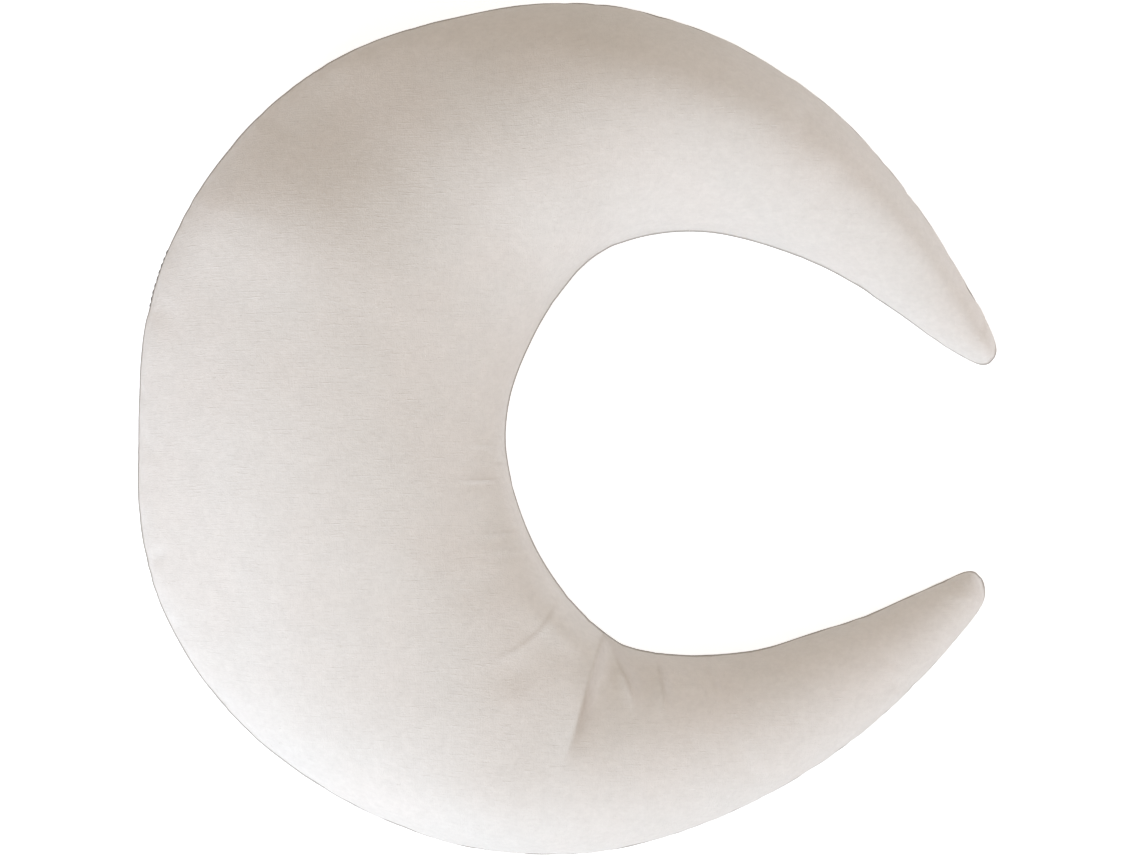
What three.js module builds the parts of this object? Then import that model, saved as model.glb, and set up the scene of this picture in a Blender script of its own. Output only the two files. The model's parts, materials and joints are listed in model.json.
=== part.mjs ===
// Crescent-moon nursing cushion, lying on its back on z = 0, with its open side towards +X.
// It is one stuffed solid: a front and a back panel of cotton, cut to the same crescent,
// are sewn together along the outline and filled. Millimetres, +Z up.

import * as THREE from 'three';

// The crescent, a row for each section across it. Angles and radii are about the waist centre.
// at: degrees from +X; inner, outer: radius of each edge; seam, crown: height of the seam and
// of the top; lean: degrees by which the outer edge runs ahead of the inner one.
const SECTIONS = [
  { at: 16.4, inner: 203, outer: 218, seam: 13, crown: 28, lean: 2.6 },
  { at: 24, inner: 179.5, outer: 217, seam: 18, crown: 41, lean: 1.4 },
  { at: 30, inner: 169.5, outer: 216, seam: 22, crown: 51, lean: 0.6 },
  { at: 37.5, inner: 160.5, outer: 218, seam: 27, crown: 62, lean: 0 },
  { at: 45, inner: 155, outer: 222, seam: 32, crown: 73, lean: 0 },
  { at: 60, inner: 148, outer: 238, seam: 41, crown: 93, lean: 0 },
  { at: 75, inner: 146, outer: 261.5, seam: 49, crown: 111, lean: 0 },
  { at: 90, inner: 149, outer: 290, seam: 55, crown: 126, lean: 0 },
  { at: 105, inner: 151.5, outer: 321, seam: 60, crown: 137, lean: 0 },
  { at: 120, inner: 153, outer: 346.5, seam: 64, crown: 140, lean: 0 },
  { at: 135, inner: 146, outer: 377.5, seam: 66, crown: 139, lean: 0 },
  { at: 150, inner: 141.5, outer: 395, seam: 67, crown: 137, lean: 0 },
  { at: 165, inner: 140, outer: 402.5, seam: 68, crown: 137, lean: 0 },
  { at: 180, inner: 139.5, outer: 397, seam: 68, crown: 138, lean: 0 },
  { at: 188, inner: 137.5, outer: 401, seam: 68, crown: 139, lean: 0 },
  { at: 195, inner: 137, outer: 399.5, seam: 68, crown: 140, lean: 0 },
  { at: 210, inner: 138, outer: 382, seam: 67, crown: 141, lean: 0 },
  { at: 225, inner: 142, outer: 354, seam: 65, crown: 141, lean: 0 },
  { at: 240, inner: 148, outer: 326, seam: 61, crown: 137, lean: 0 },
  { at: 248, inner: 151, outer: 309.5, seam: 59, crown: 132, lean: 0 },
  { at: 255, inner: 149.5, outer: 295.5, seam: 56, crown: 126, lean: 0 },
  { at: 270, inner: 147, outer: 265.5, seam: 49, crown: 110, lean: 0 },
  { at: 285, inner: 148, outer: 243.5, seam: 41, crown: 93, lean: 0 },
  { at: 300, inner: 151.5, outer: 230, seam: 34, crown: 77, lean: 0 },
  { at: 315, inner: 167.5, outer: 223.5, seam: 26, crown: 59, lean: -1 },
  { at: 322.5, inner: 179, outer: 224, seam: 21, crown: 48, lean: -2.2 },
  { at: 328, inner: 192, outer: 225, seam: 17, crown: 39, lean: -3.2 },
  { at: 333.8, inner: 207, outer: 227, seam: 14, crown: 31, lean: -4 },
];

// How the filling lies in it. crest: how far the crown stands off the middle, towards the outer
// edge, as a share of the half width; innerFlank, outerFlank: how each side falls away, where 1
// is an ellipse's fall, less is plumper and more is leaner.
const FILLING = [
  { at: 16.4, crest: 0, innerFlank: 1, outerFlank: 1 },
  { at: 30, crest: 0.1, innerFlank: 1.1, outerFlank: 1.1 },
  { at: 60, crest: 0.2, innerFlank: 1.2, outerFlank: 1.2 },
  { at: 90, crest: 0.2, innerFlank: 1.2, outerFlank: 1.2 },
  { at: 105, crest: 0.1, innerFlank: 1.15, outerFlank: 1.2 },
  { at: 120, crest: -0.15, innerFlank: 1.1, outerFlank: 1.2 },
  { at: 135, crest: -0.1, innerFlank: 1, outerFlank: 1.25 },
  { at: 150, crest: -0.1, innerFlank: 0.8, outerFlank: 1.25 },
  { at: 165, crest: -0.15, innerFlank: 0.6, outerFlank: 1.2 },
  { at: 195, crest: -0.15, innerFlank: 0.55, outerFlank: 1.15 },
  { at: 225, crest: -0.05, innerFlank: 0.6, outerFlank: 1.1 },
  { at: 240, crest: 0.1, innerFlank: 0.8, outerFlank: 1 },
  { at: 255, crest: 0.1, innerFlank: 0.9, outerFlank: 0.9 },
  { at: 333.8, crest: 0, innerFlank: 0.9, outerFlank: 0.9 },
];

// Broad swells and hollows of the filling under the top, a row for each: its middle from the
// waist centre, its length along turn degrees from +X, its breadth across that, and its height.
const SWELLS = [
  { x: -285, y: 148, length: 110, breadth: 55, turn: -27, height: 13 },
  { x: -235, y: -5, length: 90, breadth: 70, turn: -45, height: 8 },
  { x: -250, y: 54, length: 75, breadth: 55, turn: 90, height: 10 },
  { x: -316, y: 29, length: 50, breadth: 35, turn: 90, height: 4 },
  { x: -261, y: -52, length: 50, breadth: 40, turn: 90, height: 5 },
  { x: -346, y: 166, length: 34, breadth: 18, turn: 60, height: 8 },
  { x: -245, y: 238, length: 75, breadth: 34, turn: 25, height: -13 },
  { x: -356, y: -102, length: 70, breadth: 36, turn: 110, height: -9 },
  { x: -166, y: -53, length: 55, breadth: 24, turn: 98, height: -6 },
  { x: -216, y: -162, length: 55, breadth: 45, turn: 45, height: -5 },
  { x: -85, y: -178, length: 45, breadth: 26, turn: 47, height: -6 },
  { x: -162, y: -257, length: 60, breadth: 24, turn: 0, height: 5 },
  { x: -131, y: 93, length: 35, breadth: 20, turn: 50, height: 4 },
  { x: 134, y: 129, length: 65, breadth: 22, turn: -48, height: -5 },
];

// Creases that gather towards the inner seam, where the lower horn leaves the body, a row for
// each: its two ends from the waist centre, its half width, and its height, below 0 for a trough.
const FOLDS = [
  { fromX: -76, fromY: -143, toX: -94, toY: -222, width: 13, height: 6 },
  { fromX: -70, fromY: -150, toX: -77, toY: -208, width: 9, height: -5 },
  { fromX: -71, fromY: -143, toX: -50, toY: -178, width: 8, height: 4 },
  { fromX: -60, fromY: -148, toX: -40, toY: -188, width: 8, height: -3.5 },
  { fromX: -108, fromY: -116, toX: -146, toY: -150, width: 9, height: -3 },
];

// Underside
const UNDERSIDE = 0.86; // how the underside falls away, plumper than an ellipse
const FLATTENED = 9; // depth of the underside that its own weight presses flat

// Seam, where the two panels are drawn in towards their stitches
const SEAM_DITCH = 2.2;
const SEAM_SHARPNESS = 14;

// Facets
const SECTION_POINTS = 32;
const SEAM_CROWDING = 0.45; // share by which a section's points crowd towards its two seams
const SECTION_STEP = 5; // degrees between sections
const FOLD_STEP = 2; // degrees between sections that cross the creases
const FOLD_ZONE = { from: 220, to: 268 };
const TIP_ROUND = 3; // degrees over which a horn closes to its tip
const TIP_BLUNTNESS = 0.7; // below 1 the tip is blunter than a ball
const TIP_STEPS = 4;

const COVER = { color: '#e7e3dd', roughness: 0.9, metalness: 0 };

const FIRST_TIP = SECTIONS[0].at;
const LAST_TIP = SECTIONS[SECTIONS.length - 1].at;

// A function that gives a table's columns at any angle along the crescent.
function alongCrescent(table) {
  const columns = Object.keys(table[0]).slice(1);
  const curve = new THREE.CubicInterpolant(
    new Float64Array(table.map((row) => row.at)),
    new Float64Array(table.flatMap((row) => columns.map((name) => row[name]))),
    columns.length,
  );
  return (at) => {
    const values = curve.evaluate(at);
    return Object.fromEntries(columns.map((name, column) => [name, values[column]]));
  };
}

const outlineAt = alongCrescent(SECTIONS);
const fillingAt = alongCrescent(FILLING);

// The sections from tip to tip. Near a tip they crowd together and shrink like the
// parallels of a globe, and they stand closer where the creases lie.
function stationList() {
  const stations = [];
  const tip = (end, inward, step) => {
    const latitude = (Math.PI / 2) * (step / TIP_STEPS);
    const at = end + inward * TIP_ROUND * (1 - Math.cos(latitude));
    return { at, size: Math.sin(latitude) ** TIP_BLUNTNESS };
  };
  for (let step = 1; step < TIP_STEPS; step += 1) stations.push(tip(FIRST_TIP, 1, step));
  let at = FIRST_TIP + TIP_ROUND;
  while (at < LAST_TIP - TIP_ROUND) {
    stations.push({ at, size: 1 });
    at += at >= FOLD_ZONE.from && at < FOLD_ZONE.to ? FOLD_STEP : SECTION_STEP;
  }
  for (let step = TIP_STEPS; step > 0; step -= 1) stations.push(tip(LAST_TIP, -1, step));
  return stations;
}

// How far the swells lift the top at one place.
function swellLift(x, y) {
  let lift = 0;
  for (const swell of SWELLS) {
    const place = new THREE.Vector2(x - swell.x, y - swell.y);
    place.rotateAround(new THREE.Vector2(), THREE.MathUtils.degToRad(-swell.turn));
    place.divide(new THREE.Vector2(swell.length, swell.breadth));
    lift += swell.height * Math.exp(-place.lengthSq());
  }
  return lift;
}

// How far the creases lift or sink the top at one place.
function foldLift(x, y) {
  let lift = 0;
  for (const fold of FOLDS) {
    const line = new THREE.Line3(
      new THREE.Vector3(fold.fromX, fold.fromY, 0),
      new THREE.Vector3(fold.toX, fold.toY, 0),
    );
    const place = new THREE.Vector3(x, y, 0);
    const along = line.closestPointToPointParameter(place, true);
    const off = place.distanceTo(line.at(along, new THREE.Vector3()));
    const fade = Math.sin(Math.PI * (0.15 + 0.7 * along));
    lift += fold.height * fade * Math.exp(-((off / fold.width) ** 2));
  }
  return lift;
}

// One point of a section. turn runs from the outer seam (0) over the crown (a quarter turn)
// to the inner seam (half a turn) and back along the underside.
function sectionPoint(station, turn) {
  const shape = outlineAt(station.at);
  const filling = fillingAt(station.at);
  const rise = Math.sin(turn);
  const isTop = rise > 0;
  const ditch = SEAM_DITCH * (1 - Math.abs(rise)) ** SEAM_SHARPNESS;
  const half = station.size * ((shape.outer - shape.inner) / 2 - ditch);
  const across = Math.cos(turn);
  const shifted = isTop ? across + filling.crest * rise * rise : across;
  const radius = (shape.inner + shape.outer) / 2 + half * shifted;
  const angle = THREE.MathUtils.degToRad(station.at + (shape.lean / 2) * station.size * across);
  const x = radius * Math.cos(angle);
  const y = radius * Math.sin(angle);
  if (!isTop) {
    const depth = station.size * Math.abs(rise) ** UNDERSIDE * (shape.seam + FLATTENED);
    return [x, y, Math.max(0, shape.seam - depth)];
  }
  const outward = (1 + across) / 2;
  const flank = THREE.MathUtils.lerp(filling.innerFlank, filling.outerFlank, outward);
  const bulge = station.size * rise ** flank * (shape.crown - shape.seam);
  const uneven = swellLift(x, y) * Math.min(1, 2 * rise) + foldLift(x, y) * rise;
  return [x, y, shape.seam + bulge + station.size * uneven];
}

// Where a horn closes to a point, at the height of its seam.
function tipPoint(at) {
  return sectionPoint({ at, size: 0 }, 0);
}

// The closed skin over all sections, in the cushion's frame: the origin is under the
// middle of its outline.
function cushionGeometry() {
  const positions = [];
  const stations = stationList();
  for (const station of stations) {
    for (let point = 0; point < SECTION_POINTS; point += 1) {
      const even = (2 * Math.PI * point) / SECTION_POINTS;
      positions.push(...sectionPoint(station, even - (SEAM_CROWDING / 2) * Math.sin(2 * even)));
    }
  }
  const firstPole = positions.length / 3;
  positions.push(...tipPoint(FIRST_TIP), ...tipPoint(LAST_TIP));

  const faces = [];
  const vertex = (ring, point) => ring * SECTION_POINTS + (point % SECTION_POINTS);
  const lastRing = stations.length - 1;
  for (let point = 0; point < SECTION_POINTS; point += 1) {
    for (let ring = 0; ring < lastRing; ring += 1) {
      const [a, b] = [vertex(ring, point), vertex(ring + 1, point)];
      const [d, c] = [vertex(ring, point + 1), vertex(ring + 1, point + 1)];
      faces.push(a, b, c, a, c, d);
    }
    faces.push(firstPole, vertex(0, point), vertex(0, point + 1));
    faces.push(firstPole + 1, vertex(lastRing, point + 1), vertex(lastRing, point));
  }

  const geometry = new THREE.BufferGeometry();
  geometry.setAttribute('position', new THREE.Float32BufferAttribute(positions, 3));
  geometry.setIndex(faces);
  geometry.computeBoundingBox();
  const middle = geometry.boundingBox.getCenter(new THREE.Vector3());
  geometry.translate(-middle.x, -middle.y, -geometry.boundingBox.min.z);
  geometry.computeVertexNormals();
  return geometry;
}

const cushion = new THREE.Mesh(cushionGeometry(), new THREE.MeshStandardMaterial(COVER));
cushion.name = 'crescent_cushion';

const part = new THREE.Group();
part.add(cushion);

export default part;
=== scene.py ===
import json
import math

import bmesh
import bpy
import numpy as np
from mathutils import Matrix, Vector, noise
from mathutils.bvhtree import BVHTree


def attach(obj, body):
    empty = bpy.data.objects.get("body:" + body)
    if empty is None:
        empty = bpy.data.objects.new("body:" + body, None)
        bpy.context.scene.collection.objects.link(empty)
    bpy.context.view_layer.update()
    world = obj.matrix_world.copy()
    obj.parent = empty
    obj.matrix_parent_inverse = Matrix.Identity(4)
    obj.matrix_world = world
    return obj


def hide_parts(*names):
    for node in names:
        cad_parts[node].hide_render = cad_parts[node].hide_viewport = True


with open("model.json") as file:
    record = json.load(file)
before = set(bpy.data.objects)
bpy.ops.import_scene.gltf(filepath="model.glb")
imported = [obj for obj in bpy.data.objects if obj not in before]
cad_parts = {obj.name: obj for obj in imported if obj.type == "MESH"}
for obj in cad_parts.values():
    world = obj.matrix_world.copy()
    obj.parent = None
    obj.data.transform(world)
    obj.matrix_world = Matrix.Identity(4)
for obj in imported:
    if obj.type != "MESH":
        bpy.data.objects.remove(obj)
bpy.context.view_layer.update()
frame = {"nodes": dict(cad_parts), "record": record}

scene = bpy.context.scene

# Camera
# The photo looks straight down on the cushion from far off, with the mouth of the crescent
# at the right. One pixel of its 1140 x 855 is 0.70 mm at the height of the seam.
photo_width = 1140
metres_per_pixel = 0.00070
camera_height = 6.0
seam_plane = 0.05
frame_centre = Vector((0.0010, 0.0007, 0.0))

camera_data = bpy.data.cameras.new("camera")
camera_data.sensor_width = 36.0
view_width = photo_width * metres_per_pixel
camera_data.lens = camera_data.sensor_width * (camera_height - seam_plane) / view_width
camera_data.clip_end = 20.0
camera = bpy.data.objects.new("camera", camera_data)
camera.location = frame_centre + Vector((0.0, 0.0, camera_height))
scene.collection.objects.link(camera)
scene.camera = camera

# Cover
# Two crescents of ivory cotton, brushed soft, are sewn together along the outline, turned
# through a gap in the outer seam and stuffed with fibre. A net of cloth is laid on the frame's
# solid, section by section from tip to tip, and drawn in, filled and creased from there.
cushion_node = frame["nodes"]["crescent_cushion"]
waist_opening = np.array(frame["record"]["physics"]["openings"][0]["box_m"])
waist = Vector((*waist_opening.mean(axis=0)[:2], 0.0))

spine_degrees = np.arange(24.0, 326.1, 2.0)  # about the waist, short of where the horns close
far_off = 1.0  # beyond the whole cushion, where a ray towards it starts
edge_height = 0.012  # where the crescent's two edges are first looked for
middle_share = 0.45  # of the height there, where they are looked for again
tip_back = 3  # angles back from the last one, which give the way to the tip
tip_shares = (0.99, 0.66, 0.33)  # of that way, where the spine has points
spine_steps = 2000
stations = 372  # sections of the net, from tip to tip
tip_crowding = 6.0  # how much closer they stand at a tip
tip_reach = 0.012
tip_sections = 15  # too close to a tip for the seam to be found
tip_beyond = 0.2  # of the last two spacings, from the last section to the point of the tip
spine_blur = 12  # sections to each side that even out the spine's turns and heights
facet_blur = 4  # the same for the solid's facets
top_cells = 44  # of a section, from seam to seam
under_cells = 22
ring_size = top_cells + under_cells
seam_spacing = 0.22  # of a section's points beside a seam, to that far from one
seam_zone = 0.10  # share of the section over which they spread out
turn_steps = 1001
seam_band = np.linspace(0.34, 0.58, 49)  # where the seam is looked for, as shares of the height
seam_reach = 8  # steps of that band, over which the sides are compared
underside_shift = 1.0  # from the flat cut of the top to that of the underside


def cushion_tree(node, rounding_levels):
    """A ray-casting tree of the node's solid, with its facets rounded off as asked."""
    bm = bmesh.new()
    bm.from_mesh(node.data)
    bmesh.ops.remove_doubles(bm, verts=bm.verts, dist=1e-5)
    wide = math.radians(60)
    bmesh.ops.join_triangles(
        bm, faces=bm.faces, angle_face_threshold=wide, angle_shape_threshold=wide
    )
    mesh = bpy.data.meshes.new("form")
    bm.to_mesh(mesh)
    bm.free()
    form = bpy.data.objects.new("form", mesh)
    scene.collection.objects.link(form)
    rounding = form.modifiers.new("rounding", "SUBSURF")
    rounding.levels = rounding.render_levels = rounding_levels
    tree = BVHTree.FromObject(form, bpy.context.evaluated_depsgraph_get())
    bpy.data.objects.remove(form)
    bpy.data.meshes.remove(mesh)
    return tree


def hit(tree, origin, direction):
    """Where a ray first meets the solid."""
    return tree.ray_cast(origin, direction)[0]


def top_height(tree, place):
    """How high the solid is at a place of the plan."""
    return hit(tree, Vector((place[0], place[1], far_off)), Vector((0.0, 0.0, -1.0))).z


def section_middle(tree, degrees):
    """Midway between the two edges of the crescent, at one angle about the waist."""
    outward = Vector((math.cos(math.radians(degrees)), math.sin(math.radians(degrees)), 0.0))
    height = Vector((0.0, 0.0, edge_height))
    for _ in range(2):
        inner = hit(tree, waist + height, outward)
        outer = hit(tree, waist + far_off * outward + height, -outward)
        middle = (inner + outer) / 2
        height.z = middle_share * top_height(tree, middle)
    return middle


def distance_along(points):
    """How far along a line each of its points lies."""
    return np.concatenate(([0.0], np.cumsum(np.linalg.norm(np.diff(points, axis=0), axis=1))))


def cushion_spine(tree):
    """Points from tip to tip along the middle of the crescent, closer where a horn closes."""
    rough = [section_middle(tree, degrees) for degrees in spine_degrees]
    for _ in range(2):
        end = rough[0]
        to_tip = hit(tree, end, end - rough[tip_back]) - end
        rough = [end + to_tip * share for share in tip_shares] + rough
        rough.reverse()
    points = np.array([list(point) for point in rough])
    run = distance_along(points)
    fine = np.linspace(0.0, run[-1], spine_steps)
    density = 1 + tip_crowding * (np.exp(-fine / tip_reach) + np.exp((fine - run[-1]) / tip_reach))
    counted = np.concatenate(([0.0], np.cumsum((density[1:] + density[:-1]) / 2)))
    places = np.interp(np.linspace(0.0, counted[-1], stations), counted, fine)
    return np.stack([np.interp(places, run, points[:, axis]) for axis in range(3)], axis=1)


def smoothed(values, radius):
    """A running mean along the first axis that keeps both ends."""
    weights = np.hanning(2 * radius + 3)[1:-1]
    padded = np.pad(values, [(radius, radius)] + [(0, 0)] * (values.ndim - 1), mode="edge")
    columns = padded.reshape(len(padded), -1).T
    even = [np.convolve(column, weights / weights.sum(), mode="valid") for column in columns]
    return np.stack(even, axis=1).reshape(values.shape)


def seam_heights(tree, spine, outward):
    """The height at which each section is drawn in most, which is where the seam runs."""
    heights = []
    for middle, out in zip(spine, outward):
        band = seam_band * top_height(tree, middle)
        widths = np.zeros(len(band))
        for side in (Vector(out), Vector(-out)):
            for place, height in enumerate(band):
                edge = hit(tree, Vector((middle[0], middle[1], height)), side)
                widths[place] += (edge - Vector(middle)).xy.length if edge else 0.0
        beside = widths[2 * seam_reach:] + widths[:-2 * seam_reach]
        drawn_in = beside - 2 * widths[seam_reach:-seam_reach]
        heights.append(band[seam_reach + int(drawn_in.argmax())])
    return np.array(heights)


def section_turns(cells, start):
    """Angles of a section's points from one seam to the other, crowded towards both."""
    share = np.linspace(0.0, 1.0, turn_steps)
    gap = np.minimum(share, 1.0 - share)
    spacing = 1.0 - (1.0 - seam_spacing) * np.exp(-gap / seam_zone)
    counted = np.cumsum(1.0 / spacing)
    counted = (counted - counted[0]) / (counted[-1] - counted[0])
    return start + math.pi * np.interp(np.arange(cells) / cells, counted, share)


def cushion_rings(tree, spine, outward):
    """The points of every section, [station, turn, xyz], from the outer seam over the top."""
    turns = np.concatenate((section_turns(top_cells, 0.0), section_turns(under_cells, math.pi)))
    rings = np.zeros((stations, ring_size, 3))
    for station, (middle, out) in enumerate(zip(spine, outward)):
        middle, out = Vector(middle), Vector(out)
        width = (hit(tree, middle, out) - middle).length
        crown = top_height(tree, middle) - middle.z
        for place, turn in enumerate(turns):
            depth = crown if turn < math.pi else middle.z
            ray = out * width * math.cos(turn) + Vector((0.0, 0.0, depth * math.sin(turn)))
            rings[station, place] = hit(tree, middle, ray)
    return rings


rounded = cushion_tree(cushion_node, rounding_levels=2)
faceted = cushion_tree(cushion_node, rounding_levels=0)
spine = cushion_spine(rounded)
ahead = smoothed(np.gradient(spine, axis=0), spine_blur)
outward = np.stack([ahead[:, 1], -ahead[:, 0], np.zeros(stations)], axis=1)
outward /= np.linalg.norm(outward, axis=1, keepdims=True)
seam_height = seam_heights(faceted, spine, outward)
seam_height[:tip_sections] = seam_height[tip_sections]
seam_height[-tip_sections:] = seam_height[-tip_sections - 1]
spine[:, 2] = smoothed(seam_height, spine_blur)
rings = smoothed(cushion_rings(rounded, spine, outward), facet_blur)

# The flat cut of each panel, for the weave: each section's arc, laid out from the spine
closed = np.concatenate((rings, rings[:, :1]), axis=1)
arcs = np.cumsum(np.linalg.norm(np.diff(closed, axis=1), axis=2), axis=1)
arcs = np.concatenate((np.zeros((stations, 1)), arcs), axis=1)
top_arc = arcs[:, :top_cells + 1]
under_arc = arcs[:, top_cells:] - arcs[:, top_cells:top_cells + 1]
across = np.concatenate(
    (top_arc[:, -1:] / 2 - top_arc, under_arc - under_arc[:, -1:] / 2), axis=1
)
flat_cut = spine[:, None, :2] + outward[:, None, :2] * across[:, :, None]
flat_cut[:, top_cells + 1:, 1] += underside_shift
flat_tips = np.stack([spine[[0, -1], :2], spine[[0, -1], :2] + (0.0, underside_shift)], axis=1)

# How far each point is from the nearer seam, and whether that is the outer one
to_seam = np.concatenate((
    np.minimum(top_arc, top_arc[:, -1:] - top_arc)[:, :-1],
    np.minimum(under_arc, under_arc[:, -1:] - under_arc)[:, :-1],
), axis=1)
ring_places = np.arange(ring_size)
beside_outer = (ring_places < top_cells / 2) | (ring_places > top_cells + under_cells / 2)


def cloth_net(name, rings, tips):
    """The closed net of quads over all the sections, with a fan of triangles at each tip."""
    vertices = np.concatenate((rings.reshape(-1, 3), tips))
    faces, columns = [], []
    for station in range(stations - 1):
        here, there = station * ring_size, (station + 1) * ring_size
        for place in range(ring_size):
            after, column = (place + 1) % ring_size, place + (place >= top_cells)
            faces.append((here + place, there + place, there + after, here + after))
            columns.append(((station, column), (station + 1, column),
                            (station + 1, column + 1), (station, column + 1)))
    for end, here in ((0, 0), (1, (stations - 1) * ring_size)):
        for place in range(ring_size):
            after, side = (place + 1) % ring_size, int(place >= top_cells)
            pair = (here + place, here + after)
            faces.append((stations * ring_size + end, *(pair if end == 0 else pair[::-1])))
            columns.append(((~end, side),) * 3)  # less than 0, as it belongs to no section
    mesh = bpy.data.meshes.new(name)
    mesh.from_pydata(vertices.tolist(), [], faces)
    flat = mesh.uv_layers.new(name="flat_cut")
    places = [
        flat_tips[~station, column] if station < 0 else flat_cut[station, column]
        for face in columns for station, column in face
    ]
    flat.uv.foreach_set("vector", np.array(places, dtype=np.float32).ravel())
    return mesh


tip_points = np.stack([
    spine[0] + (spine[0] - spine[2]) * tip_beyond,
    spine[-1] + (spine[-1] - spine[-3]) * tip_beyond,
])
cover_mesh = cloth_net("cover", rings, tip_points)
outer_run = distance_along(rings[:, 0])
inner_run = distance_along(rings[:, top_cells])
for name, values, at_tips in (
    ("seam_gap", to_seam, 0.0),
    ("seam_run", np.where(beside_outer, outer_run[:, None], inner_run[:, None]), 0.0),
    ("by_outer_seam", np.broadcast_to(beside_outer, to_seam.shape).astype(float), 0.5),
    ("on_top", np.broadcast_to(ring_places <= top_cells, to_seam.shape).astype(float), 1.0),
):
    layer = cover_mesh.attributes.new(name, "FLOAT", "POINT")
    layer.data.foreach_set("value", np.append(values.ravel(), [at_tips] * 2).astype(np.float32))
cover = bpy.data.objects.new("cover", cover_mesh)
scene.collection.objects.link(cover)

# The filling presses the cloth out, and the cloth, cut a little larger than its seams, gathers
# beside them. Only the wrinkles are kept from this simulation: the cushion's form stays.
filling_pressure = 4.0
filling_steps = 20
panel_ease = 0.01  # how much larger the cloth is cut than its net
seam_ease = 0.04  # the same beside a seam
gather_reach = 0.035
broad_along = 9  # sections to each side that the form is told from a wrinkle by
broad_across = 3  # the same for the points of a section
wrinkle_cap = 0.004
top_share_kept = 0.22  # of the wrinkles on the crown, which the filling holds smoother
crown_reach = 0.012
stitched_share_kept = 0.25  # of the wrinkles at a seam, which its stitches hold
stitched_reach = 0.006


def stuffed(cover):
    """The net's points once the filling has pressed on the cloth."""
    held = cover.vertex_groups.new(name="held")
    seams = [station * ring_size + place for station in range(stations) for place in (0, top_cells)]
    tips = [stations * ring_size, stations * ring_size + 1]
    held.add(seams + tips, 1.0, "REPLACE")
    gathered = cover.vertex_groups.new(name="gathered")
    for vertex, gap in enumerate(np.append(to_seam.ravel(), [0.0, 0.0])):
        gathered.add([vertex], math.exp(-(gap / gather_reach) ** 2), "REPLACE")
    cloth = cover.modifiers.new("stuffing", "CLOTH")
    settings = cloth.settings
    settings.quality = 6
    settings.mass = 0.2
    settings.tension_stiffness = settings.compression_stiffness = 20.0
    settings.shear_stiffness = 10.0
    settings.bending_stiffness = 0.3
    settings.air_damping = 3.0
    settings.use_pressure = True
    settings.uniform_pressure_force = filling_pressure
    settings.vertex_group_mass = "held"
    settings.pin_stiffness = 5.0
    settings.vertex_group_shrink = "gathered"
    settings.shrink_min, settings.shrink_max = -panel_ease, -seam_ease
    settings.effector_weights.gravity = 0.0
    cloth.point_cache.frame_end = filling_steps
    for step in range(1, filling_steps + 1):
        scene.frame_set(step)
    evaluated = cover.evaluated_get(bpy.context.evaluated_depsgraph_get())
    points = np.zeros(len(cover.data.vertices) * 3, dtype=np.float32)
    evaluated.data.vertices.foreach_get("co", points)
    cover.modifiers.remove(cloth)
    cover.vertex_groups.clear()
    scene.frame_set(1)
    return points.reshape(-1, 3)[:-2].reshape(stations, ring_size, 3).astype(float)


def wrinkles_only(move):
    """The part of the cloth's move that changes over a few centimetres, held within a cap."""
    broad = smoothed(move, broad_along)
    wrap = 2 * broad_across
    ringed = np.concatenate((broad[:, -wrap:], broad, broad[:, :wrap]), axis=1)
    broad = smoothed(ringed.transpose(1, 0, 2), broad_across).transpose(1, 0, 2)[:, wrap:-wrap]
    fine = move - broad
    length = np.linalg.norm(fine, axis=2, keepdims=True)
    kept = np.clip(to_seam[:, :, None] / stitched_reach, stitched_share_kept, 1.0)
    top_gap = to_seam[:, :top_cells, None]
    kept[:, :top_cells] *= top_share_kept + (1 - top_share_kept) * np.exp(-top_gap / crown_reach)
    return fine * kept * wrinkle_cap / np.maximum(length, wrinkle_cap)


rings += wrinkles_only(stuffed(cover) - rings)
rings[:, :, 2] = np.maximum(rings[:, :, 2], 0.0)
points = np.concatenate((rings.reshape(-1, 3), tip_points)).astype(np.float32)
cover_mesh.vertices.foreach_set("co", points.ravel())
cover_mesh.update()


def applied(piece):
    """The piece with its modifiers made part of its mesh."""
    evaluated = piece.evaluated_get(bpy.context.evaluated_depsgraph_get())
    mesh = bpy.data.meshes.new_from_object(evaluated)
    piece.modifiers.clear()
    piece.data = mesh
    return mesh


rounding = cover.modifiers.new("rounding", "SUBSURF")
rounding.levels = rounding.render_levels = 1
cover_mesh = applied(cover)
for polygon in cover_mesh.polygons:
    polygon.use_smooth = True

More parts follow.
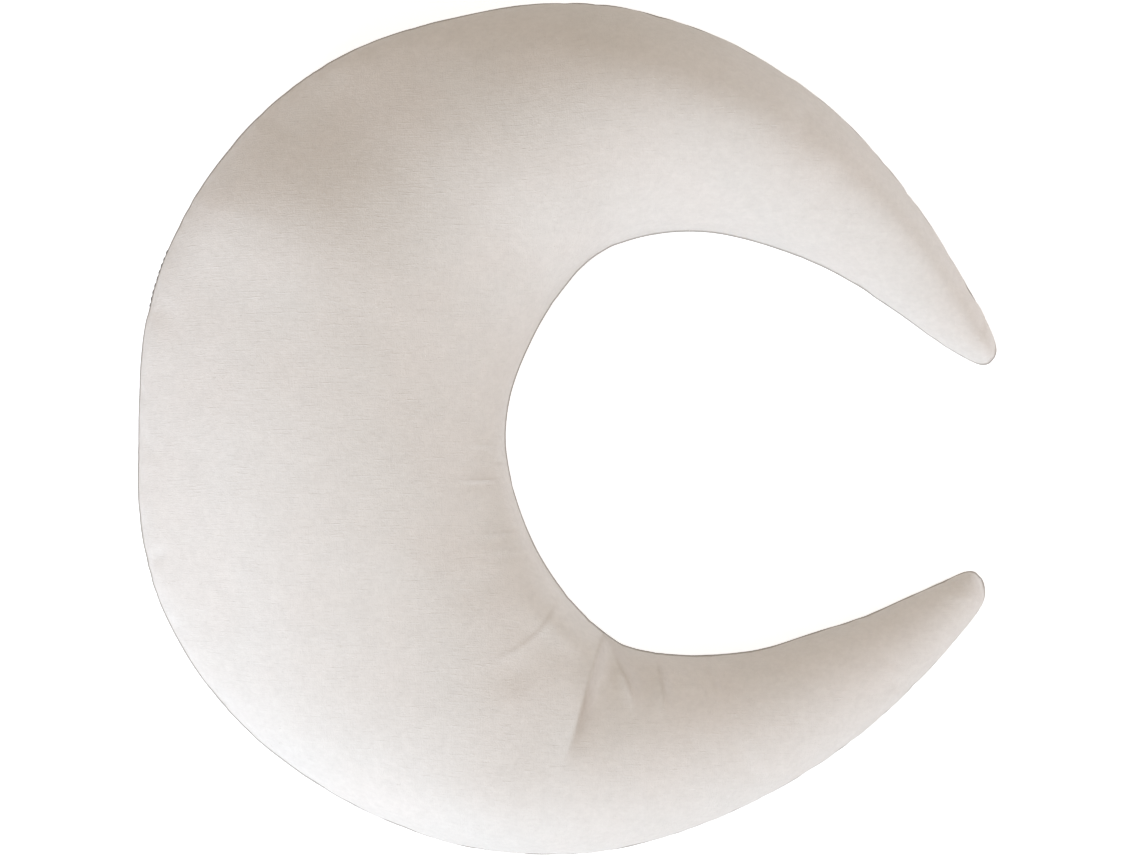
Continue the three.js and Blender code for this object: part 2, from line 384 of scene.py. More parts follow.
# What the simulation is too coarse for is laid into the cloth: the creases where the
# body bends into the lower horn, the gathers beside both seams, the lumps of the filling.
# A crease keeps what crease_lift gives it wherever it says nothing else.
main_fold = [
    (0.0420, -0.1000), (0.0300, -0.1300), (0.0225, -0.1500), (0.0165, -0.1669),
    (0.0131, -0.1758), (0.0114, -0.1862), (0.0086, -0.1980), (0.0045, -0.2104),
    (0.0010, -0.2208), (-0.0030, -0.2310), (-0.0070, -0.2400),
]
# A crease's shade is painted shade: darker colour laid into the cloth where the fold would lie in
# shadow.
creases = [
    {"path": main_fold, "rise": 0.0120, "gentle": 0.045, "steep": 0.0038,
     "starts": 0.001, "ends": 0.080, "shade": 0.17, "shade_width": 0.0090},
    {"path": main_fold[2:],
     "starts": 0.045, "ends": 0.045, "shade": 0.26, "shade_width": 0.0075},
    {"path": [(0.0235, -0.1410), (0.0262, -0.1462), (0.0314, -0.1565), (0.0369, -0.1669),
              (0.0418, -0.1772), (0.0445, -0.1876), (0.0455, -0.1960), (0.0460, -0.2030)],
     "rise": 0.0050, "gentle": 0.0100, "steep": 0.0058, "trough": 0.0006, "trough_at": 0.0080,
     "starts": 0.010, "ends": 0.036, "from_seam": 0.006, "shade": 0.17, "shade_width": 0.0095},
    {"path": [(0.0590, -0.1580), (0.0639, -0.1696), (0.0655, -0.1800), (0.0666, -0.1938),
              (0.0660, -0.2050)],
     "rise": 0.0020, "gentle": 0.0110, "steep": 0.0040, "trough": 0.0006, "trough_at": 0.0055,
     "starts": 0.016, "ends": 0.024, "from_seam": 0.006, "shade": 0.12, "shade_width": 0.0050},
    {"path": [(0.0920, -0.1600), (0.0977, -0.1724), (0.1033, -0.1814), (0.1050, -0.1930)],
     "rise": 0.0010, "gentle": 0.0110, "steep": 0.0035, "trough": 0.0005, "trough_at": 0.0055,
     "starts": 0.014, "from_seam": 0.006, "shade": 0.07, "shade_width": 0.0050},
    {"path": [(-0.0070, -0.1160), (-0.0111, -0.1240), (-0.0142, -0.1300), (-0.0186, -0.1369),
              (-0.0255, -0.1439), (-0.0336, -0.1496), (-0.0427, -0.1536), (-0.0531, -0.1577),
              (-0.0620, -0.1600)],
     "rise": 0.0012, "gentle": 0.0240, "steep": 0.0040,
     "starts": 0.020, "ends": 0.030, "from_seam": 0.006, "shade": 0.13, "shade_width": 0.0026},
    {"path": [(-0.0450, -0.0345), (-0.0570, -0.0352), (-0.0670, -0.0358), (-0.0790, -0.0350)],
     "rise": 0.0007, "trough": 0.0007, "shade": 0.13},
    {"path": [(-0.0330, -0.0700), (-0.0400, -0.0712), (-0.0500, -0.0718), (-0.0680, -0.0712)],
     "rise": 0.0007, "trough": 0.0007, "shade": 0.13},
    {"path": [(-0.0400, -0.0240), (-0.0480, -0.0245), (-0.0580, -0.0243)],
     "rise": 0.0004, "gentle": 0.0080, "steep": 0.0020, "trough": 0.0004,
     "starts": 0.008, "ends": 0.010, "shade": 0.06, "shade_width": 0.0018},
    {"path": [(-0.0440, -0.0100), (-0.0540, -0.0108), (-0.0640, -0.0120), (-0.0740, -0.0125)],
     "rise": 0.0005, "trough": 0.0004, "ends": 0.016, "shade": 0.05, "shade_width": 0.0018},
    {"path": [(-0.0260, -0.0820), (-0.0360, -0.0832), (-0.0480, -0.0838), (-0.0620, -0.0830)],
     "rise": 0.0005, "trough": 0.0005, "shade": 0.06, "shade_width": 0.0018},
    {"path": [(-0.2700, 0.1580), (-0.2602, 0.1551), (-0.2353, 0.1510), (-0.2035, 0.1413),
              (-0.1669, 0.1282)],
     "rise": 0.0018, "gentle": 0.0450, "steep": 0.0220, "starts": 0.002, "ends": 0.080},
]
path_degree = 3  # of the curve laid through a path's points, or less where they are few
path_steps = 80
shoulder = 1.5  # how fully a crease's two sides are rounded
shade_lead = 0.0025  # how far ahead of its path a crease's shade sets in
shade_edge = 0.003
hollows = [  # centre, half length, half breadth, turn in degrees, depth; a swell is less than 0
    ((-0.034, -0.168), 0.020, 0.012, 215, 0.0018),
    ((-0.064, -0.110), 0.020, 0.012, 200, 0.0010),
    ((0.002, -0.141), 0.028, 0.012, -37, -0.0050),
    ((-0.286, -0.0895), 0.006, 0.004, 250, 0.0025),
]
hollow_from_seam = 0.006
gather_rows = [  # beside the outer seam or the inner one, how many, their reach and depth
    (True, 150, 0.011, 0.0011),
    (False, 60, 0.014, 0.0010),
]
gather_breadths = (0.0022, 0.0060)
gather_slant = 0.22
gather_reaches = (0.45, 1.5)  # shares of the row's reach
gather_depths = (0.15, 1.0)  # roots of shares of the row's depth
gather_seed = 11
edge_share = 0.35  # of a gather's depth at the edge itself, which the stitches hold
edge_reach = 0.005
seam_welt = 0.0013  # how far the sewn edge stands out, between a faint dip on each side
welt_width = 0.0011
seam_dip = 0.0005
dip_from_seam = 0.0030
dip_width = 0.0015
lump_height = 0.0005
lump_size = 0.042


def point_values(mesh, name):
    """One number for each point of a mesh."""
    values = np.zeros(len(mesh.vertices), dtype=np.float32)
    mesh.attributes[name].data.foreach_get("value", values)
    return values


def mesh_vectors(collection, name):
    """One vector for each member of a mesh's points or normals."""
    values = np.zeros(len(collection) * 3, dtype=np.float32)
    collection.foreach_get(name, values)
    return values.reshape(-1, 3).astype(float)


def eased(share):
    """From 0 to 1 with no corner at either end."""
    return 0.5 - 0.5 * np.cos(math.pi * np.clip(share, 0.0, 1.0))


def crease_lift(places, gap, path, rise=0.0, gentle=0.009, steep=0.0025, trough=0.0,
                trough_at=0.003, starts=0.010, ends=0.018, from_seam=0.004, shade=0.0,
                shade_width=0.0022):
    """How far one crease lifts the cloth at each place of the plan, and how much it shades it.

    It stands up along its path as high as its rise. It falls off over the gentle distance to the
    right of it, and to the left over the steep one, where a trough may follow and the cloth's
    colour is made darker as painted shade. It fades in and out along the path, and where it comes
    near a seam.
    """
    knots = np.array(path)
    chord = distance_along(knots)
    run = np.linspace(0.0, chord[-1], path_steps)
    degree = min(path_degree, len(knots) - 2)
    fits = [np.polyfit(chord, knots[:, axis], degree) for axis in (0, 1)]
    line = np.stack([np.polyval(fit, run) for fit in fits], axis=1)
    ahead = np.gradient(line, axis=0)
    ahead /= np.linalg.norm(ahead, axis=1, keepdims=True)
    nearest = np.linalg.norm(places[:, None] - line[None], axis=2).argmin(axis=1)
    offset, heading = places - line[nearest], ahead[nearest]
    along = run[nearest] + (offset * heading).sum(axis=1)
    left = heading[:, 0] * offset[:, 1] - heading[:, 1] * offset[:, 0]
    fade = eased(along / starts) * eased((chord[-1] - along) / ends)
    fade *= eased(gap / from_seam)
    ramp = np.clip(1.0 + left / gentle, 0.0, 1.0) ** shoulder
    drop = np.exp(-(np.maximum(left, 0.0) / steep) ** shoulder)
    beyond = np.maximum(left, 0.0) / trough_at
    dip = (beyond * np.exp(1.0 - beyond)) ** 2
    darker = eased((left + shade_lead) / shade_edge) * np.exp(-(left / shade_width) ** 2)
    lift = rise * ramp * drop - trough * dip
    return fade * lift, fade * shade * darker


def hollow_lift(places, centre, half_length, half_breadth, turn, depth):
    """How far one hollow lowers the cloth at each place of the plan."""
    offset = places - centre
    ahead = np.array([math.cos(math.radians(turn)), math.sin(math.radians(turn))])
    along = offset @ ahead / half_length
    across = (offset[:, 0] * ahead[1] - offset[:, 1] * ahead[0]) / half_breadth
    return -depth * np.exp(-along ** 2 - across ** 2)


def gathers(gap, run, count, reach, depth, seed):
    """Puckers of all sizes beside a seam, where the cloth is gathered on its stitches."""
    draw = np.random.default_rng(seed)
    length = float(run.max())
    lift = np.zeros(len(gap))
    for centre in np.sort(draw.uniform(0.0, length, count)):
        breadth = draw.uniform(*gather_breadths)
        slant = draw.normal(0.0, gather_slant)
        own_reach = reach * draw.uniform(*gather_reaches)
        own_depth = depth * draw.uniform(*gather_depths) ** 2
        off = (run - centre - slant * gap) / breadth
        near = np.abs(off) < 3  # breadths, beyond which it is nothing
        lift[near] -= own_depth * np.exp(-off[near] ** 2) * np.exp(-gap[near] / own_reach)
    return lift * (edge_share + (1 - edge_share) * eased(gap / edge_reach))


top_share, seam_gap, seam_run, by_outer = (
    point_values(cover_mesh, name) for name in ("on_top", "seam_gap", "seam_run", "by_outer_seam")
)
points = mesh_vectors(cover_mesh.vertices, "co")
normals = mesh_vectors(cover_mesh.vertex_normals, "vector")
# The lift goes along the normals, and what is raised goes straight up
lift, raised, painted_fold_shade = (np.zeros(len(points)) for _ in range(3))
upper = (top_share > 0.5) & (normals[:, 2] > 0.0)
for crease in creases:
    lifted, shaded = crease_lift(points[upper, :2], seam_gap[upper], **crease)
    raised[upper] += lifted
    painted_fold_shade[upper] = np.maximum(painted_fold_shade[upper], shaded)
clear_of_seam = eased(seam_gap[upper] / hollow_from_seam)
for hollow in hollows:
    raised[upper] += hollow_lift(points[upper, :2], *hollow) * clear_of_seam
for on_top in (True, False):
    for outer, count, reach, depth in gather_rows:
        panel = ((top_share > 0.5) == on_top) & ((by_outer > 0.5) == outer)
        seed = gather_seed + 2 * on_top + outer
        lift[panel] += gathers(seam_gap[panel], seam_run[panel], count, reach, depth, seed)
lift += lump_height * np.array([noise.noise(place) for place in points / lump_size])
lift += seam_welt * np.exp(-(seam_gap / welt_width) ** 2)
lift -= seam_dip * np.exp(-((seam_gap - dip_from_seam) / dip_width) ** 2)
points += normals * lift[:, None]
points[:, 2] += raised
points[:, 2] = np.maximum(points[:, 2], 0.0)
cover_mesh.vertices.foreach_set("co", points.astype(np.float32).ravel())
cover_mesh.update()
# The creases' painted shade, kept for the cloth's colour
shade_layer = cover_mesh.attributes.new("painted_fold_shade", "FLOAT", "POINT")
shade_layer.data.foreach_set("value", painted_fold_shade.astype(np.float32))


def shared_group(name, outputs):
    """A shader node group with a place as its input and the values named as its outputs."""
    group = bpy.data.node_groups.new(name, "ShaderNodeTree")
    group.interface.new_socket("Place", in_out="INPUT", socket_type="NodeSocketVector")
    for output, kind in outputs:
        group.interface.new_socket(output, in_out="OUTPUT", socket_type=kind)
    return group, group.nodes.new("NodeGroupInput"), group.nodes.new("NodeGroupOutput")


def linked(tree, kind, links, **settings):
    """A new node with its settings and its linked or constant inputs."""
    node = tree.nodes.new(kind)
    for name, value in settings.items():
        setattr(node, name, value)
    for socket, value in links.items():
        if isinstance(value, bpy.types.NodeSocket):
            tree.links.new(value, node.inputs[socket])
        else:
            node.inputs[socket].default_value = value
    return node


def noise_at(tree, place, scale, detail, stretch=(1.0, 1.0, 1.0)):
    """Noise read at a place stretched along the axes."""
    turned = linked(tree, "ShaderNodeMapping", {"Vector": place, "Scale": stretch})
    return linked(tree, "ShaderNodeTexNoise", {
        "Vector": turned.outputs["Vector"], "Scale": scale, "Detail": detail, "Roughness": 0.6,
    }).outputs["Fac"]


def between(tree, value, low, high, to_low, to_high, smooth=False):
    """A value mapped from one range to another and held inside it."""
    return linked(tree, "ShaderNodeMapRange", {
        "Value": value, "From Min": low, "From Max": high, "To Min": to_low, "To Max": to_high,
    }, interpolation_type="SMOOTHSTEP" if smooth else "LINEAR").outputs["Result"]


def combined(tree, operation, first, second):
    """Two values put together by one operation."""
    return linked(tree, "ShaderNodeMath", {0: first, 1: second}, operation=operation).outputs[0]


# The brushed nap: tufts a few millimetres across, broader brush marks, and single fibres
nap, nap_in, nap_out = shared_group(
    "brushed_nap", [("Tone", "NodeSocketFloat"), ("Height", "NodeSocketFloat")]
)
tufts = noise_at(nap, nap_in.outputs["Place"], scale=260.0, detail=3.0)
brushing = noise_at(nap, nap_in.outputs["Place"], scale=75.0, detail=2.0)
fibres = noise_at(nap, nap_in.outputs["Place"], scale=1100.0, detail=2.0)
nap.links.new(
    combined(nap, "ADD", between(nap, tufts, low=0.3, high=0.7, to_low=-1.0, to_high=1.0),
             between(nap, brushing, low=0.3, high=0.7, to_low=-0.6, to_high=0.6)),
    nap_out.inputs["Tone"],
)
nap.links.new(combined(nap, "ADD", tufts, fibres), nap_out.inputs["Height"])

# The yarns: threads both ways, and slubs, the thicker lengths of yarn, along the grain
yarns, yarns_in, yarns_out = shared_group(
    "slub_yarns", [("Tone", "NodeSocketFloat"), ("Height", "NodeSocketFloat")]
)
flat_place = yarns_in.outputs["Place"]
along = noise_at(yarns, flat_place, scale=1000.0, detail=1.0, stretch=(0.10, 1.0, 1.0))
over = noise_at(yarns, flat_place, scale=1000.0, detail=1.0, stretch=(1.0, 0.14, 1.0))
thicker = noise_at(yarns, flat_place, scale=700.0, detail=2.0, stretch=(0.08, 1.0, 1.0))
slubs = between(yarns, thicker, low=0.56, high=0.74, to_low=0.0, to_high=1.0, smooth=True)
threads = combined(yarns, "ADD", along, over)
thread_tones = between(yarns, threads, low=0.6, high=1.4, to_low=-1.0, to_high=1.0)
yarns.links.new(combined(yarns, "SUBTRACT", thread_tones, slubs), yarns_out.inputs["Tone"])
yarns.links.new(combined(yarns, "ADD", threads, slubs), yarns_out.inputs["Height"])

# The drift of the ivory between warm and cool, over a few centimetres
drift, drift_in, drift_out = shared_group("ivory_drift", [("Drift", "NodeSocketFloat")])
patches = noise_at(drift, drift_in.outputs["Place"], scale=15.0, detail=2.0)
drift.links.new(
    between(drift, patches, low=0.32, high=0.68, to_low=0.0, to_high=1.0),
    drift_out.inputs["Drift"],
)

warm_ivory = (0.838, 0.806, 0.770, 1.0)
cool_ivory = (0.827, 0.807, 0.775, 1.0)
painted_crease_shade_colour = (0.36, 0.28, 0.20, 1.0)  # painted shade, where a crease closes on itself
painted_crease_shade_strength = 1.7
# Painted shade: a dark line along each seam, for the shadow in the seam's groove
painted_seam_shade_colour = (0.260, 0.230, 0.200, 1.0)
painted_seam_shade_strength = 0.80
painted_seam_shade_band = (0.0003, 0.0017)  # from the seam, where its painted shade begins and has ended fading
nap_tone = 0.030
yarn_tone = 0.008
yarn_relief = 0.6  # of the nap's

cotton = bpy.data.materials.new("brushed_cotton")
cotton.use_nodes = True
tree = cotton.node_tree
shader = tree.nodes["Principled BSDF"]
solid_place = linked(tree, "ShaderNodeTexCoord", {}).outputs["Object"]
flat = linked(tree, "ShaderNodeUVMap", {}, uv_map="flat_cut").outputs["UV"]
nap_node = linked(tree, "ShaderNodeGroup", {}, node_tree=nap)
yarn_node = linked(tree, "ShaderNodeGroup", {}, node_tree=yarns)
drift_node = linked(tree, "ShaderNodeGroup", {}, node_tree=drift)
tree.links.new(solid_place, nap_node.inputs["Place"])
tree.links.new(solid_place, drift_node.inputs["Place"])
tree.links.new(flat, yarn_node.inputs["Place"])
gap = linked(tree, "ShaderNodeAttribute", {}, attribute_name="seam_gap").outputs["Fac"]
painted_crease_shade_amount = linked(tree, "ShaderNodeAttribute", {}, attribute_name="painted_fold_shade").outputs["Fac"]

tones = combined(tree, "ADD",
                 combined(tree, "MULTIPLY", nap_node.outputs["Tone"], nap_tone),
                 combined(tree, "MULTIPLY", yarn_node.outputs["Tone"], yarn_tone))
ivory = linked(tree, "ShaderNodeMix", {
    0: drift_node.outputs["Drift"], 6: warm_ivory, 7: cool_ivory,
}, data_type="RGBA").outputs[2]
# Painted shade: the ivory is mixed towards a darker colour where a crease closes on itself
creased = linked(tree, "ShaderNodeMix", {
    0: combined(tree, "MULTIPLY", painted_crease_shade_amount, painted_crease_shade_strength), 6: ivory, 7: painted_crease_shade_colour,
}, data_type="RGBA").outputs[2]
shaded = linked(tree, "ShaderNodeVectorMath", {0: creased}, operation="SCALE")
tree.links.new(combined(tree, "ADD", tones, 1.0), shaded.inputs["Scale"])
# The painted shade along the seams
painted_seam_shade = linked(tree, "ShaderNodeMix", {
    0: between(tree, gap, *painted_seam_shade_band, to_low=painted_seam_shade_strength, to_high=0.0, smooth=True),
    6: shaded.outputs["Vector"], 7: painted_seam_shade_colour,
}, data_type="RGBA").outputs[2]
tree.links.new(painted_seam_shade, shader.inputs["Base Color"])
shader.inputs["Roughness"].default_value = 0.9
shader.inputs["Specular IOR Level"].default_value = 0.25
shader.inputs["Sheen Weight"].default_value = 0.12
shader.inputs["Sheen Roughness"].default_value = 0.5
relief = combined(tree, "ADD", nap_node.outputs["Height"],
                  combined(tree, "MULTIPLY", yarn_node.outputs["Height"], yarn_relief))
bump = linked(tree, "ShaderNodeBump", {"Height": relief, "Strength": 0.42, "Distance": 0.0005})
tree.links.new(bump.outputs["Normal"], shader.inputs["Normal"])
cover_mesh.materials.append(cotton)

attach(cover, "root")
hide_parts("crescent_cushion")

# Closing stitches
# The gap in the outer seam through which the cushion was stuffed is sewn shut by hand, with
# short stitches of thread that lie along the sewn edge, dark partly in their own colour and partly
# as painted shade.
stitch_span = (0.0835, 0.1235)  # the stretch of the seam, by its distance up the plan
stitch_pitch = 0.0046
stitch_length = 0.0038
thread_radius = 0.00033
thread_sides = 10
thread_points = 7  # along a stitch
stitch_bow = 0.0005  # how far a stitch's ends sink into the cloth
bow_sharpness = 2.5
stitch_stand = 0.0001  # from the cloth to the middle of the thread
stitch_turns = ((-0.15, -0.06, -0.28), (0.15, 0.06, 0.10))  # least and most, in radians
stitch_sizes = ((0.80, 0.85, 0.85), (1.08, 1.1, 1.1))
# Partly the thread's own colour, partly painted shade for the shadows between the stitches
thread_deep = (0.110, 0.097, 0.083, 1.0)
thread_pale = (0.200, 0.180, 0.158, 1.0)


def nodes_object(name, mesh, group, values):
    """An object whose mesh is made by the group, with its named inputs set, and applied."""
    piece = bpy.data.objects.new(name, mesh)
    scene.collection.objects.link(piece)
    made = piece.modifiers.new(name, "NODES")
    made.node_group = group
    for item in group.interface.items_tree:
        if item.item_type == "SOCKET" and item.in_out == "INPUT" and item.name in values:
            made[item.identifier] = values[item.name]
    piece.data = bpy.data.meshes.new_from_object(
        piece.evaluated_get(bpy.context.evaluated_depsgraph_get())
    )
    piece.modifiers.clear()
    piece.data.name = name
    return piece


def repeats_group(name, inputs):
    """A geometry node group with a mesh in, a mesh out and the named inputs between them."""
    group = bpy.data.node_groups.new(name, "GeometryNodeTree")
    group.interface.new_socket("Geometry", in_out="INPUT", socket_type="NodeSocketGeometry")
    for label, kind in inputs:
        group.interface.new_socket(label, in_out="INPUT", socket_type=kind)
    group.interface.new_socket("Geometry", in_out="OUTPUT", socket_type="NodeSocketGeometry")
    return group, group.nodes.new("NodeGroupInput").outputs, group.nodes.new("NodeGroupOutput")


def bowed_thread(tree, length, radius, bow, sides):
    """A short length of thread along X whose ends bend down."""
    half = combined(tree, "MULTIPLY", length, 0.5)
    start = linked(tree, "ShaderNodeCombineXYZ", {"X": combined(tree, "MULTIPLY", half, -1.0)})
    end = linked(tree, "ShaderNodeCombineXYZ", {"X": half})
    line = linked(tree, "GeometryNodeCurvePrimitiveLine", {
        "Start": start.outputs[0], "End": end.outputs[0],
    })
    points = linked(tree, "GeometryNodeResampleCurve", {
        "Curve": line.outputs[0], "Count": thread_points,
    })
    along = linked(tree, "ShaderNodeSeparateXYZ", {
        0: tree.nodes.new("GeometryNodeInputPosition").outputs[0],
    }).outputs["X"]
    share = combined(tree, "ABSOLUTE", combined(tree, "DIVIDE", along, half), 0.0)
    bent = combined(tree, "POWER", share, bow_sharpness)
    down = combined(tree, "MULTIPLY", bow, -1.0)
    sink = linked(tree, "ShaderNodeCombineXYZ", {"Z": combined(tree, "MULTIPLY", bent, down)})
    bowed = linked(tree, "GeometryNodeSetPosition", {
        "Geometry": points.outputs[0], "Offset": sink.outputs[0],
    })
    profile = linked(tree, "GeometryNodeCurvePrimitiveCircle", {
        "Resolution": sides, "Radius": radius,
    })
    return linked(tree, "GeometryNodeCurveToMesh", {
        "Curve": bowed.outputs[0], "Profile Curve": profile.outputs[0], "Fill Caps": True,
    }).outputs[0]


sewing, sewing_in, sewing_out = repeats_group("hand_stitches", [
    ("Pitch", "NodeSocketFloat"), ("Length", "NodeSocketFloat"), ("Thread", "NodeSocketFloat"),
    ("Bow", "NodeSocketFloat"), ("Thread Material", "NodeSocketMaterial"),
])
edge = linked(sewing, "GeometryNodeMeshToCurve", {"Mesh": sewing_in["Geometry"]})
stops = linked(sewing, "GeometryNodeResampleCurve", {
    "Curve": edge.outputs[0], "Length": sewing_in["Pitch"],
}, mode="LENGTH")
tangent = sewing.nodes.new("GeometryNodeInputTangent").outputs[0]
across_edge = linked(sewing, "ShaderNodeVectorMath", {0: tangent, 1: (0.0, 0.0, 1.0)},
                     operation="CROSS_PRODUCT").outputs["Vector"]
lying = linked(sewing, "FunctionNodeAlignRotationToVector", {"Vector": tangent}, axis="X")
facing = linked(sewing, "FunctionNodeAlignRotationToVector", {
    "Rotation": lying.outputs[0], "Vector": across_edge,
}, axis="Z", pivot_axis="X")
turn = linked(sewing, "FunctionNodeRandomValue", {
    "Min": stitch_turns[0], "Max": stitch_turns[1], "Seed": 4,
}, data_type="FLOAT_VECTOR")
tilted = linked(sewing, "FunctionNodeRotateRotation", {
    "Rotation": facing.outputs[0], "Rotate By": turn.outputs[0],
}, rotation_space="LOCAL")
size = linked(sewing, "FunctionNodeRandomValue", {
    "Min": stitch_sizes[0], "Max": stitch_sizes[1], "Seed": 9,
}, data_type="FLOAT_VECTOR")
stitches_placed = linked(sewing, "GeometryNodeInstanceOnPoints", {
    "Points": stops.outputs[0], "Rotation": tilted.outputs[0], "Scale": size.outputs[0],
    "Instance": bowed_thread(
        sewing, sewing_in["Length"], sewing_in["Thread"], sewing_in["Bow"], thread_sides
    ),
})
real = linked(sewing, "GeometryNodeRealizeInstances", {"Geometry": stitches_placed.outputs[0]})
dyed = linked(sewing, "GeometryNodeSetMaterial", {
    "Geometry": real.outputs[0], "Material": sewing_in["Thread Material"],
})
sewing.links.new(dyed.outputs[0], sewing_out.inputs[0])

thread = bpy.data.materials.new("thread_dark_with_painted_shade")
thread.use_nodes = True
thread_shader = thread.node_tree.nodes["Principled BSDF"]
thread_place = linked(thread.node_tree, "ShaderNodeTexCoord", {}).outputs["Object"]
twist = noise_at(thread.node_tree, thread_place, scale=2600.0, detail=1.0)
thread_tone = linked(thread.node_tree, "ShaderNodeMix", {
    0: twist, 6: thread_deep, 7: thread_pale,
}, data_type="RGBA")
thread.node_tree.links.new(thread_tone.outputs[2], thread_shader.inputs["Base Color"])
thread_shader.inputs["Roughness"].default_value = 0.7

on_outer_seam = (seam_gap < 1e-6) & (by_outer > 0.5)
in_span = (points[:, 1] > stitch_span[0]) & (points[:, 1] < stitch_span[1])
sewn_edge = on_outer_seam & in_span & (points[:, 0] < 0)
edge_points = points[sewn_edge][np.argsort(seam_run[sewn_edge])]
edge_out = edge_points - np.array([waist.x, waist.y, 0.0])
edge_out[:, 2] = 0.0
edge_out /= np.linalg.norm(edge_out, axis=1, keepdims=True)
edge_points += stitch_stand * edge_out
edge_mesh = bpy.data.meshes.new("sewn_edge")
edge_mesh.from_pydata(
    edge_points.tolist(), [(place, place + 1) for place in range(len(edge_points) - 1)], []
)
closing = nodes_object("closing_stitches", edge_mesh, sewing, {
    "Pitch": stitch_pitch, "Length": stitch_length, "Thread": thread_radius,
    "Bow": stitch_bow, "Thread Material": thread,
})
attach(closing, "root")

# Lint
# Brushed cotton sheds: a few loose fibres lie curled on the nap, and the odd one has balled
# up into a pill.
lint_gap = 0.004  # between the nearest two
fibre_density = 700.0  # to the square metre
pill_density = 260.0
lint_seed = 23
lint_turns = ((-0.2, -0.2, 0.0), (0.2, 0.2, 6.2831))  # least and most, in radians
fibre_bend = ((-0.0014, 0.0, 0.0), (0.0002, 0.0016, 0.0009), (0.0015, -0.0004, 0.0002))
fibre_radius = 0.00007
fibre_sizes = ((0.5, 0.5, 0.6), (1.4, 1.4, 1.2))
pill_radius = 0.00034
pill_sizes = ((0.5, 0.5, 0.4), (1.3, 1.1, 0.8))

shedding, shedding_in, shedding_out = repeats_group("lint", [
    ("Gap", "NodeSocketFloat"), ("Fibres", "NodeSocketFloat"), ("Pills", "NodeSocketFloat"),
    ("Seed", "NodeSocketInt"), ("Lint Material", "NodeSocketMaterial"),
])


def strewn(kind, density, least, most, seed_step):
    """Instances of one kind scattered over the cloth, each turned and sized at random."""
    spots = linked(shedding, "GeometryNodeDistributePointsOnFaces", {
        "Mesh": shedding_in["Geometry"], "Distance Min": shedding_in["Gap"],
        "Density Max": density,
        "Seed": combined(shedding, "ADD", shedding_in["Seed"], float(seed_step)),
    }, distribute_method="POISSON")
    spin = linked(shedding, "FunctionNodeRandomValue", {
        "Min": lint_turns[0], "Max": lint_turns[1], "Seed": seed_step,
    }, data_type="FLOAT_VECTOR")
    laid = linked(shedding, "FunctionNodeRotateRotation", {
        "Rotation": spots.outputs["Rotation"], "Rotate By": spin.outputs[0],
    }, rotation_space="LOCAL")
    grown = linked(shedding, "FunctionNodeRandomValue", {
        "Min": least, "Max": most, "Seed": seed_step + 1,
    }, data_type="FLOAT_VECTOR")
    return linked(shedding, "GeometryNodeInstanceOnPoints", {
        "Points": spots.outputs["Points"], "Instance": kind, "Rotation": laid.outputs[0],
        "Scale": grown.outputs[0],
    }).outputs[0]


curl = linked(shedding, "GeometryNodeCurveQuadraticBezier", {
    "Resolution": 6, "Start": fibre_bend[0], "Middle": fibre_bend[1], "End": fibre_bend[2],
})
hair = linked(shedding, "GeometryNodeCurvePrimitiveCircle", {
    "Resolution": 4, "Radius": fibre_radius,
})
fibre = linked(shedding, "GeometryNodeCurveToMesh", {
    "Curve": curl.outputs[0], "Profile Curve": hair.outputs[0], "Fill Caps": True,
})
pill = linked(shedding, "GeometryNodeMeshIcoSphere", {"Radius": pill_radius, "Subdivisions": 1})
joined = shedding.nodes.new("GeometryNodeJoinGeometry")
for scattered in (
    strewn(fibre.outputs[0], shedding_in["Fibres"], *fibre_sizes, seed_step=0),
    strewn(pill.outputs[0], shedding_in["Pills"], *pill_sizes, seed_step=5),
):
    shedding.links.new(scattered, joined.inputs[0])
loose = linked(shedding, "GeometryNodeRealizeInstances", {"Geometry": joined.outputs[0]})
tinted = linked(shedding, "GeometryNodeSetMaterial", {
    "Geometry": loose.outputs[0], "Material": shedding_in["Lint Material"],
})
shedding.links.new(tinted.outputs[0], shedding_out.inputs[0])

fluff = bpy.data.materials.new("cotton_lint")
fluff.use_nodes = True
fluff_shader = fluff.node_tree.nodes["Principled BSDF"]
fluff_shader.inputs["Base Color"].default_value = (0.90, 0.885, 0.86, 1.0)
fluff_shader.inputs["Roughness"].default_value = 0.9
fluff_shader.inputs["Sheen Weight"].default_value = 0.2

lint = nodes_object("lint", cover_mesh.copy(), shedding, {
    "Gap": lint_gap, "Fibres": fibre_density, "Pills": pill_density, "Seed": lint_seed,
    "Lint Material": fluff,
})
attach(lint, "root")

# Floor and light
# The cushion lies on a sheet of white paper under softboxes. To the eye the paper is
# overexposed, as on a light table, yet it lights the cushion only faintly.
floor_reach = 6.0
floor_height = -0.0003  # a hair under the cushion, so that the two never share a plane
glow_on_cushion = 0.1
glow_to_eye = 0.62

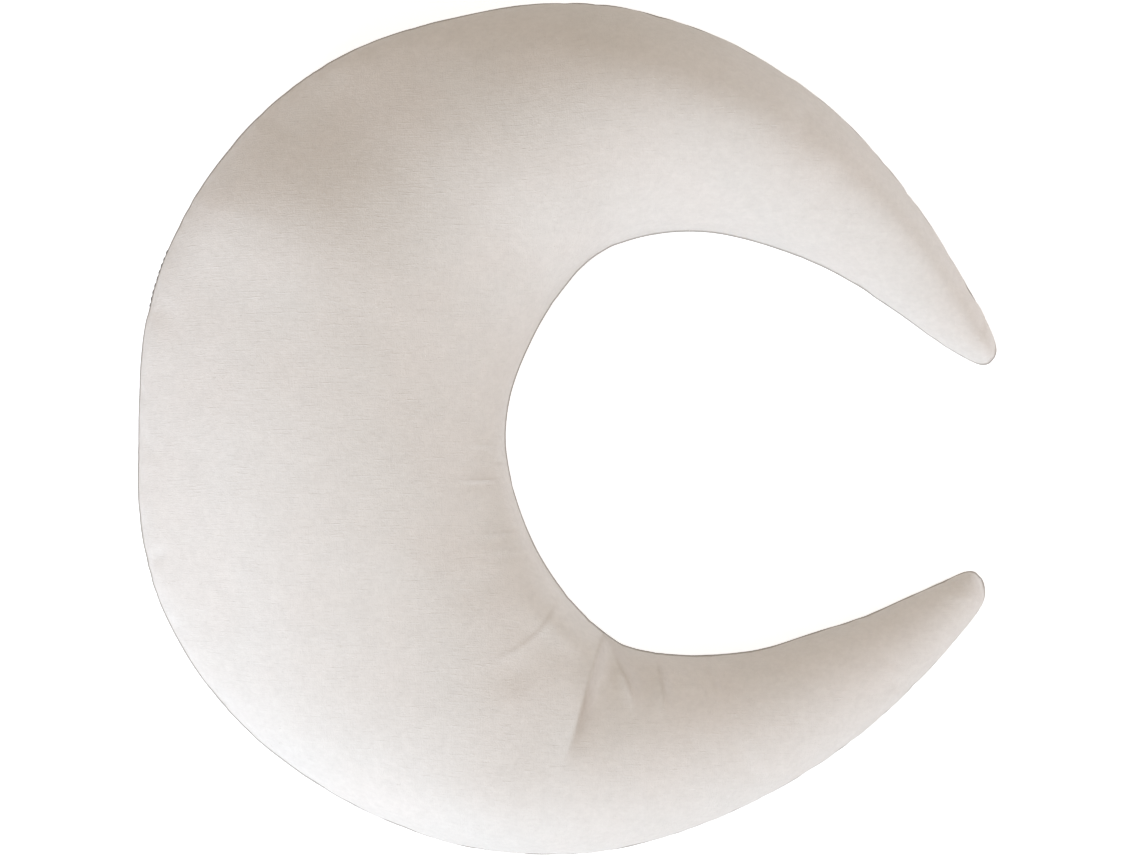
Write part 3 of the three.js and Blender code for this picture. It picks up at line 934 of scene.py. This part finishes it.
floor_mesh = bpy.data.meshes.new("floor")
floor_mesh.from_pydata([
    (side * floor_reach, end * floor_reach, floor_height)
    for side, end in ((-1, -1), (1, -1), (1, 1), (-1, 1))
], [], [(0, 1, 2, 3)])
floor = bpy.data.objects.new("floor", floor_mesh)
scene.collection.objects.link(floor)
paper = bpy.data.materials.new("white_floor")
paper.use_nodes = True
paper_shader = paper.node_tree.nodes["Principled BSDF"]
paper_shader.inputs["Base Color"].default_value = (0.9, 0.9, 0.9, 1.0)
paper_shader.inputs["Specular IOR Level"].default_value = 0.0
paper_shader.inputs["Emission Color"].default_value = (0.96, 0.98, 1.0, 1.0)
paper_path = paper.node_tree.nodes.new("ShaderNodeLightPath")
paper_glow = paper.node_tree.nodes.new("ShaderNodeMapRange")
paper_glow.inputs["To Min"].default_value = glow_on_cushion
paper_glow.inputs["To Max"].default_value = glow_to_eye
paper.node_tree.links.new(paper_path.outputs["Is Camera Ray"], paper_glow.inputs["Value"])
paper.node_tree.links.new(
    paper_glow.outputs["Result"], paper_shader.inputs["Emission Strength"]
)
floor_mesh.materials.append(paper)


def soft_light(name, azimuth, elevation, distance, size, energy, colour):
    """A rectangular softbox that faces the cushion, placed by its angles in degrees."""
    data = bpy.data.lights.new(name, "AREA")
    data.shape = "RECTANGLE"
    data.size, data.size_y = size
    data.energy = energy
    data.color = colour
    light = bpy.data.objects.new(name, data)
    turn, rise = math.radians(azimuth), math.radians(elevation)
    light.location = Vector((
        math.cos(turn) * math.cos(rise), math.sin(turn) * math.cos(rise), math.sin(rise)
    )) * distance
    light.rotation_euler = light.location.to_track_quat("Z", "Y").to_euler()
    scene.collection.objects.link(light)


soft_light("key", azimuth=235, elevation=30, distance=3.4, size=(1.7, 1.4), energy=74.3,
           colour=(0.752, 0.862, 1.0))
soft_light("fill", azimuth=355, elevation=10, distance=2.5, size=(2.0, 1.0), energy=22.3,
           colour=(0.837, 0.877, 1.0))
soft_light("side", azimuth=180, elevation=25, distance=2.5, size=(2.0, 2.0), energy=7.1,
           colour=(0.904, 0.867, 1.0))
soft_light("top", azimuth=0, elevation=80, distance=2.5, size=(2.0, 2.0), energy=11.3,
           colour=(1.0, 0.957, 0.975))

world = bpy.data.worlds.new("studio")
world.use_nodes = True
world.node_tree.nodes["Background"].inputs["Color"].default_value = (1.0, 0.841, 0.651, 1.0)
world.node_tree.nodes["Background"].inputs["Strength"].default_value = 0.373
scene.world = world
scene.view_settings.view_transform = "Standard"
